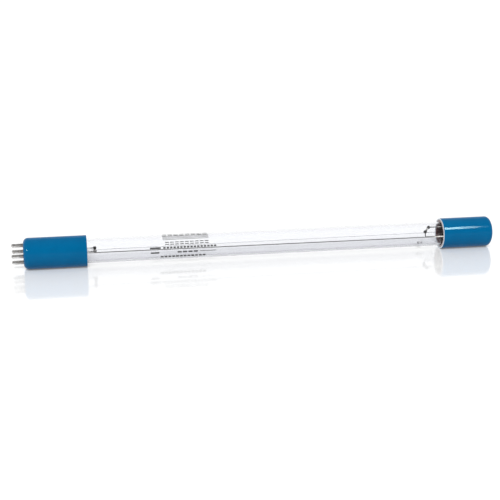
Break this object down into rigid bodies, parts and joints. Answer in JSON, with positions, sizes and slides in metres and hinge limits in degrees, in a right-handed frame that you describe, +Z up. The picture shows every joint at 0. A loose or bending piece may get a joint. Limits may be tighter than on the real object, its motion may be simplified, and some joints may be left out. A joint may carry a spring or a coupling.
{
  "type": "germicidal lamp",
  "caption": "Slim germicidal ultraviolet lamp: a clear quartz tube between glossy blue metal caps, coiled cathodes inside, return wires along it and contact pins on the base.",
  "frame": {"origin": "middle of the base cap's end face, on the lamp's axis, where the socket's face meets it", "axes": "the lamp lies along X, the contact pins point to -X and the tube runs to +X, +Z is up"},
  "size_m": [0.299, 0.019, 0.019],
  "materials": {
    "blue_lacquer": "glossy blue lacquer on drawn aluminium",
    "clear_quartz": "clear fused quartz, polished",
    "white_ceramic": "matt white ceramic",
    "brown_cement": "dark brown baked basing cement, matt",
    "nickel_plate": "nickel-plated brass, slightly dull",
    "lead_wire": "bare nickel wire",
    "white_sleeve": "wire in a thin white heat-proof sleeve",
    "molybdenum_foil": "thin grey molybdenum foil",
    "coated_tungsten": "tungsten coil under a chalky white emitter coat",
    "mercury": "liquid metal drop"
  },
  "bodies": {
    "root": {"base_cap": "blue_lacquer", "end_cap": "blue_lacquer", "pin_insulator": "white_ceramic", "base_cement": "brown_cement", "end_cement": "brown_cement", "quartz_tube": "clear_quartz", "base_cathode_coil": "coated_tungsten", "end_cathode_coil": "coated_tungsten", "base_cathode_lead_upper": "lead_wire", "base_foil_upper": "molybdenum_foil", "base_cathode_lead_lower": "lead_wire", "base_foil_lower": "molybdenum_foil", "end_cathode_lead_upper": "lead_wire", "end_foil_upper": "molybdenum_foil", "end_cathode_lead_lower": "lead_wire", "end_foil_lower": "molybdenum_foil", "base_outer_lead_upper": "lead_wire", "base_outer_lead_lower": "lead_wire", "return_wire_front": "lead_wire", "return_wire_rear": "white_sleeve", "mercury_bead": "mercury", "contact_pin_1": "nickel_plate", "contact_pin_2": "nickel_plate", "contact_pin_3": "nickel_plate", "contact_pin_4": "nickel_plate"}
  },
  "joints": []
}
